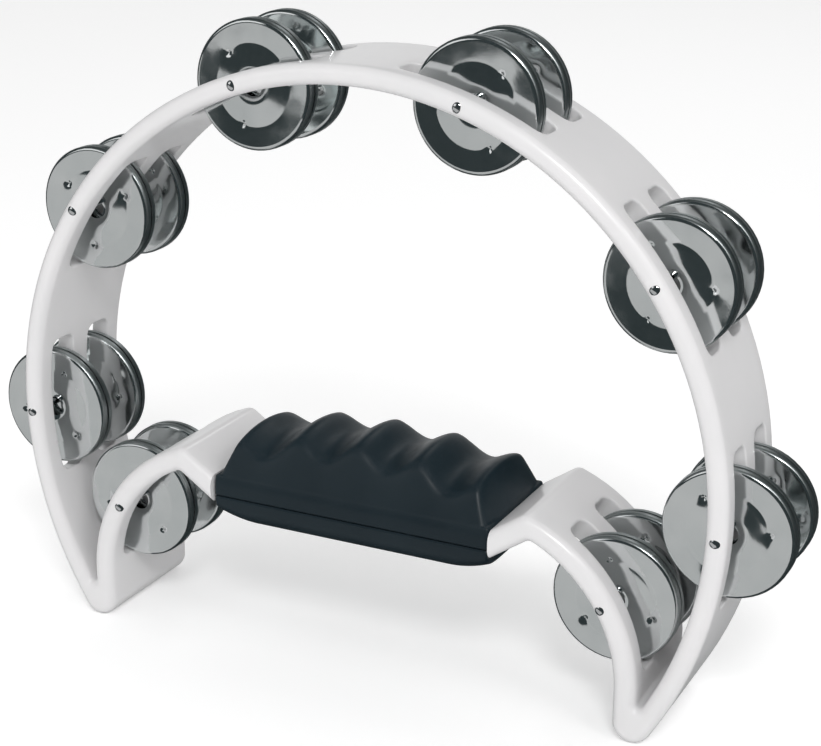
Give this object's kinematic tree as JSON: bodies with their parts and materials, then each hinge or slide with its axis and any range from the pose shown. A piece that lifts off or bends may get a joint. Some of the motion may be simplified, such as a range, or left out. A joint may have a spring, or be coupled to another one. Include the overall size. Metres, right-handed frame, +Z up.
{
  "type": "tambourine",
  "caption": "Half-moon hand tambourine: a flat white hoop with paired jingles on pins in windows, and a rubber finger grip across its cut-away side.",
  "frame": {"origin": "centre of the bounding box's base, level with the tips of the two horns, midway between the front and back rims", "axes": "+X to the right along the grip, +Y from the front rim to the back rim, parallel to the pins, +Z up from the horns to the top of the arc"},
  "size_m": [0.294, 0.05, 0.2177],
  "materials": {
    "abs_white": "glossy",
    "rubber_black": "satin",
    "nickel_plate": "polished",
    "pin_chrome": "polished"
  },
  "bodies": {
    "frame": {"frame": "abs_white", "grip_finger_shell": "rubber_black", "grip_palm_shell": "rubber_black", "pin_1": "pin_chrome", "pin_2": "pin_chrome", "pin_3": "pin_chrome", "pin_4": "pin_chrome", "pin_5": "pin_chrome", "pin_6": "pin_chrome", "pin_7": "pin_chrome", "pin_8": "pin_chrome"},
    "jingle_1_front_b": {"jingle_1_front_b": "nickel_plate"},
    "jingle_1_front_a": {"jingle_1_front_a": "nickel_plate"},
    "jingle_1_rear_b": {"jingle_1_rear_b": "nickel_plate"},
    "jingle_1_rear_a": {"jingle_1_rear_a": "nickel_plate"},
    "jingle_2_front_b": {"jingle_2_front_b": "nickel_plate"},
    "jingle_2_front_a": {"jingle_2_front_a": "nickel_plate"},
    "jingle_2_rear_b": {"jingle_2_rear_b": "nickel_plate"},
    "jingle_2_rear_a": {"jingle_2_rear_a": "nickel_plate"},
    "jingle_3_front_b": {"jingle_3_front_b": "nickel_plate"},
    "jingle_3_front_a": {"jingle_3_front_a": "nickel_plate"},
    "jingle_3_rear_b": {"jingle_3_rear_b": "nickel_plate"},
    "jingle_3_rear_a": {"jingle_3_rear_a": "nickel_plate"},
    "jingle_4_front_b": {"jingle_4_front_b": "nickel_plate"},
    "jingle_4_front_a": {"jingle_4_front_a": "nickel_plate"},
    "jingle_4_rear_b": {"jingle_4_rear_b": "nickel_plate"},
    "jingle_4_rear_a": {"jingle_4_rear_a": "nickel_plate"},
    "jingle_5_front_b": {"jingle_5_front_b": "nickel_plate"},
    "jingle_5_front_a": {"jingle_5_front_a": "nickel_plate"},
    "jingle_5_rear_b": {"jingle_5_rear_b": "nickel_plate"},
    "jingle_5_rear_a": {"jingle_5_rear_a": "nickel_plate"},
    "jingle_6_front_b": {"jingle_6_front_b": "nickel_plate"},
    "jingle_6_front_a": {"jingle_6_front_a": "nickel_plate"},
    "jingle_6_rear_b": {"jingle_6_rear_b": "nickel_plate"},
    "jingle_6_rear_a": {"jingle_6_rear_a": "nickel_plate"},
    "jingle_7_front_b": {"jingle_7_front_b": "nickel_plate"},
    "jingle_7_front_a": {"jingle_7_front_a": "nickel_plate"},
    "jingle_7_rear_b": {"jingle_7_rear_b": "nickel_plate"},
    "jingle_7_rear_a": {"jingle_7_rear_a": "nickel_plate"},
    "jingle_8_front_b": {"jingle_8_front_b": "nickel_plate"},
    "jingle_8_front_a": {"jingle_8_front_a": "nickel_plate"},
    "jingle_8_rear_b": {"jingle_8_rear_b": "nickel_plate"},
    "jingle_8_rear_a": {"jingle_8_rear_a": "nickel_plate"}
  },
  "joints": [
    {"name": "spin_1_front", "type": "hinge", "parent": "frame", "child": "jingle_1_front_b", "pos_m": [-0.03925, 0, 0.19829], "axis": [0, 1, 0], "continuous": true},
    {"name": "clap_1_front", "type": "slide", "parent": "jingle_1_front_b", "child": "jingle_1_front_a", "axis": [0, 1, 0], "range_m": [-0.0036, 0.0006]},
    {"name": "spin_1_rear", "type": "hinge", "parent": "frame", "child": "jingle_1_rear_b", "pos_m": [-0.03925, 0, 0.19829], "axis": [0, 1, 0], "continuous": true},
    {"name": "clap_1_rear", "type": "slide", "parent": "jingle_1_rear_b", "child": "jingle_1_rear_a", "axis": [0, 1, 0], "range_m": [-0.0036, 0.0006]},
    {"name": "spin_2_front", "type": "hinge", "parent": "frame", "child": "jingle_2_front_b", "pos_m": [0.03925, 0, 0.19829], "axis": [0, 1, 0], "continuous": true},
    {"name": "clap_2_front", "type": "slide", "parent": "jingle_2_front_b", "child": "jingle_2_front_a", "axis": [0, 1, 0], "range_m": [-0.0036, 0.0006]},
    {"name": "spin_2_rear", "type": "hinge", "parent": "frame", "child": "jingle_2_rear_b", "pos_m": [0.03925, 0, 0.19829], "axis": [0, 1, 0], "continuous": true},
    {"name": "clap_2_rear", "type": "slide", "parent": "jingle_2_rear_b", "child": "jingle_2_rear_a", "axis": [0, 1, 0], "range_m": [-0.0036, 0.0006]},
    {"name": "spin_3_front", "type": "hinge", "parent": "frame", "child": "jingle_3_front_b", "pos_m": [0.10345, 0, 0.15049], "axis": [0, 1, 0], "continuous": true},
    {"name": "clap_3_front", "type": "slide", "parent": "jingle_3_front_b", "child": "jingle_3_front_a", "axis": [0, 1, 0], "range_m": [-0.0036, 0.0006]},
    {"name": "spin_3_rear", "type": "hinge", "parent": "frame", "child": "jingle_3_rear_b", "pos_m": [0.10345, 0, 0.15049], "axis": [0, 1, 0], "continuous": true},
    {"name": "clap_3_rear", "type": "slide", "parent": "jingle_3_rear_b", "child": "jingle_3_rear_a", "axis": [0, 1, 0], "range_m": [-0.0036, 0.0006]},
    {"name": "spin_4_front", "type": "hinge", "parent": "frame", "child": "jingle_4_front_b", "pos_m": [0.12593, 0, 0.07447], "axis": [0, 1, 0], "continuous": true},
    {"name": "clap_4_front", "type": "slide", "parent": "jingle_4_front_b", "child": "jingle_4_front_a", "axis": [0, 1, 0], "range_m": [-0.0036, 0.0006]},
    {"name": "spin_4_rear", "type": "hinge", "parent": "frame", "child": "jingle_4_rear_b", "pos_m": [0.12593, 0, 0.07447], "axis": [0, 1, 0], "continuous": true},
    {"name": "clap_4_rear", "type": "slide", "parent": "jingle_4_rear_b", "child": "jingle_4_rear_a", "axis": [0, 1, 0], "range_m": [-0.0036, 0.0006]},
    {"name": "spin_5_front", "type": "hinge", "parent": "frame", "child": "jingle_5_front_b", "pos_m": [-0.12593, 0, 0.07447], "axis": [0, 1, 0], "continuous": true},
    {"name": "clap_5_front", "type": "slide", "parent": "jingle_5_front_b", "child": "jingle_5_front_a", "axis": [0, 1, 0], "range_m": [-0.0036, 0.0006]},
    {"name": "spin_5_rear", "type": "hinge", "parent": "frame", "child": "jingle_5_rear_b", "pos_m": [-0.12593, 0, 0.07447], "axis": [0, 1, 0], "continuous": true},
    {"name": "clap_5_rear", "type": "slide", "parent": "jingle_5_rear_b", "child": "jingle_5_rear_a", "axis": [0, 1, 0], "range_m": [-0.0036, 0.0006]},
    {"name": "spin_6_front", "type": "hinge", "parent": "frame", "child": "jingle_6_front_b", "pos_m": [-0.10345, 0, 0.15049], "axis": [0, 1, 0], "continuous": true},
    {"name": "clap_6_front", "type": "slide", "parent": "jingle_6_front_b", "child": "jingle_6_front_a", "axis": [0, 1, 0], "range_m": [-0.0036, 0.0006]},
    {"name": "spin_6_rear", "type": "hinge", "parent": "frame", "child": "jingle_6_rear_b", "pos_m": [-0.10345, 0, 0.15049], "axis": [0, 1, 0], "continuous": true},
    {"name": "clap_6_rear", "type": "slide", "parent": "jingle_6_rear_b", "child": "jingle_6_rear_a", "axis": [0, 1, 0], "range_m": [-0.0036, 0.0006]},
    {"name": "spin_7_front", "type": "hinge", "parent": "frame", "child": "jingle_7_front_b", "pos_m": [0.0906, 0, 0.04456], "axis": [0, 1, 0], "continuous": true},
    {"name": "clap_7_front", "type": "slide", "parent": "jingle_7_front_b", "child": "jingle_7_front_a", "axis": [0, 1, 0], "range_m": [-0.0036, 0.0006]},
    {"name": "spin_7_rear", "type": "hinge", "parent": "frame", "child": "jingle_7_rear_b", "pos_m": [0.0906, 0, 0.04456], "axis": [0, 1, 0], "continuous": true},
    {"name": "clap_7_rear", "type": "slide", "parent": "jingle_7_rear_b", "child": "jingle_7_rear_a", "axis": [0, 1, 0], "range_m": [-0.0036, 0.0006]},
    {"name": "spin_8_front", "type": "hinge", "parent": "frame", "child": "jingle_8_front_b", "pos_m": [-0.0906, 0, 0.04456], "axis": [0, 1, 0], "continuous": true},
    {"name": "clap_8_front", "type": "slide", "parent": "jingle_8_front_b", "child": "jingle_8_front_a", "axis": [0, 1, 0], "range_m": [-0.0036, 0.0006]},
    {"name": "spin_8_rear", "type": "hinge", "parent": "frame", "child": "jingle_8_rear_b", "pos_m": [-0.0906, 0, 0.04456], "axis": [0, 1, 0], "continuous": true},
    {"name": "clap_8_rear", "type": "slide", "parent": "jingle_8_rear_b", "child": "jingle_8_rear_a", "axis": [0, 1, 0], "range_m": [-0.0036, 0.0006]}
  ]
}
